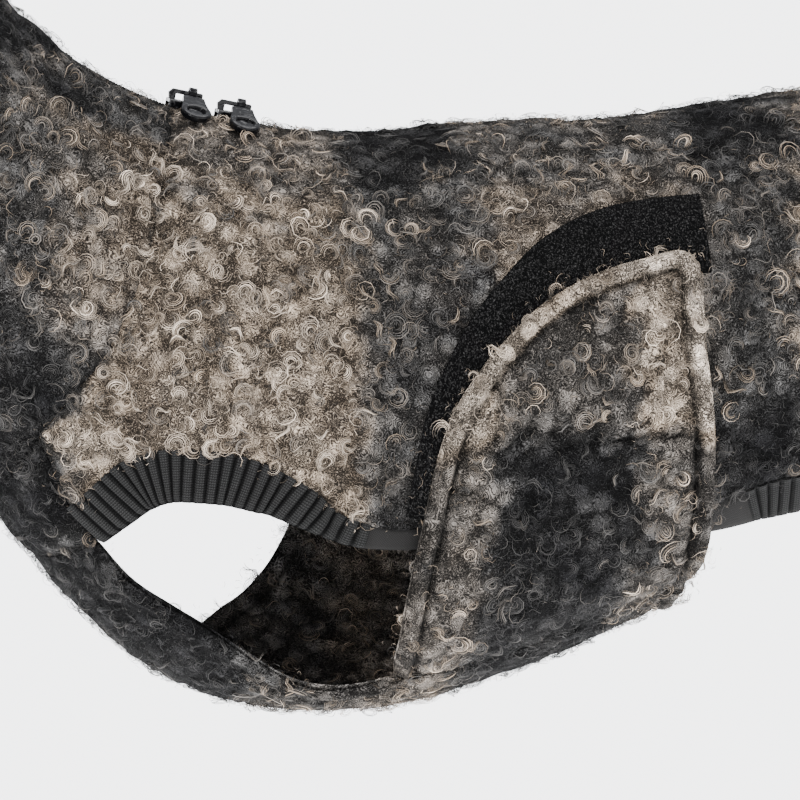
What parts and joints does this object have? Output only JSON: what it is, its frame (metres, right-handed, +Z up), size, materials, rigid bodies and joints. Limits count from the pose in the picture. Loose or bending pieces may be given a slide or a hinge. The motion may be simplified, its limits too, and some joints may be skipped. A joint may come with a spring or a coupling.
{
  "type": "dog sweater",
  "caption": "Wrap-style coat for a medium dog in curled wool check, with ribbed trims, wrapped belly flaps and a short zip at the back.",
  "frame": {"origin": "on the inner face of the cloth, on the back's centre line over the withers, where the coat rests on its wearer", "axes": "+X from the neck opening toward the tail end, +Z up, -Y toward the wearer's left side"},
  "size_m": [0.6427, 0.1886, 0.3241],
  "materials": {
    "wool_cloth": "curled woollen pile in a soft grey, charcoal and beige check",
    "rib_knit": "charcoal two by two rib knit",
    "facing": "smooth dark grey facing",
    "loop_tape": "matte black brushed loop tape",
    "zip_tape": "black woven tape with a coil chain",
    "zip_metal": "glossy black lacquered metal"
  },
  "bodies": {
    "coat": {"armhole_rib_left": "rib_knit", "armhole_rib_right": "rib_knit", "back_left": "wool_cloth", "back_right": "wool_cloth", "belly_panel": "wool_cloth", "hem_rib": "rib_knit", "loop_band_left": "loop_tape", "loop_band_right": "loop_tape", "neck_chest": "wool_cloth", "side_binding_left": "facing", "side_binding_right": "facing", "slider_front": "zip_metal", "slider_rear": "zip_metal", "zip_tape": "zip_tape"},
    "pull_front": {"pull_front": "zip_metal"},
    "pull_rear": {"pull_rear": "zip_metal"}
  },
  "joints": [
    {"name": "pull_front_swing", "type": "hinge", "parent": "coat", "child": "pull_front", "pos_m": [-0.0431, 0, 0.01597], "axis": [-0.9763, 0, 0.2164], "range_deg": [0, 225]},
    {"name": "pull_rear_swing", "type": "hinge", "parent": "coat", "child": "pull_rear", "pos_m": [-0.02355, 0, 0.01134], "axis": [-0.9781, 0, 0.2079], "range_deg": [0, 227]}
  ]
}
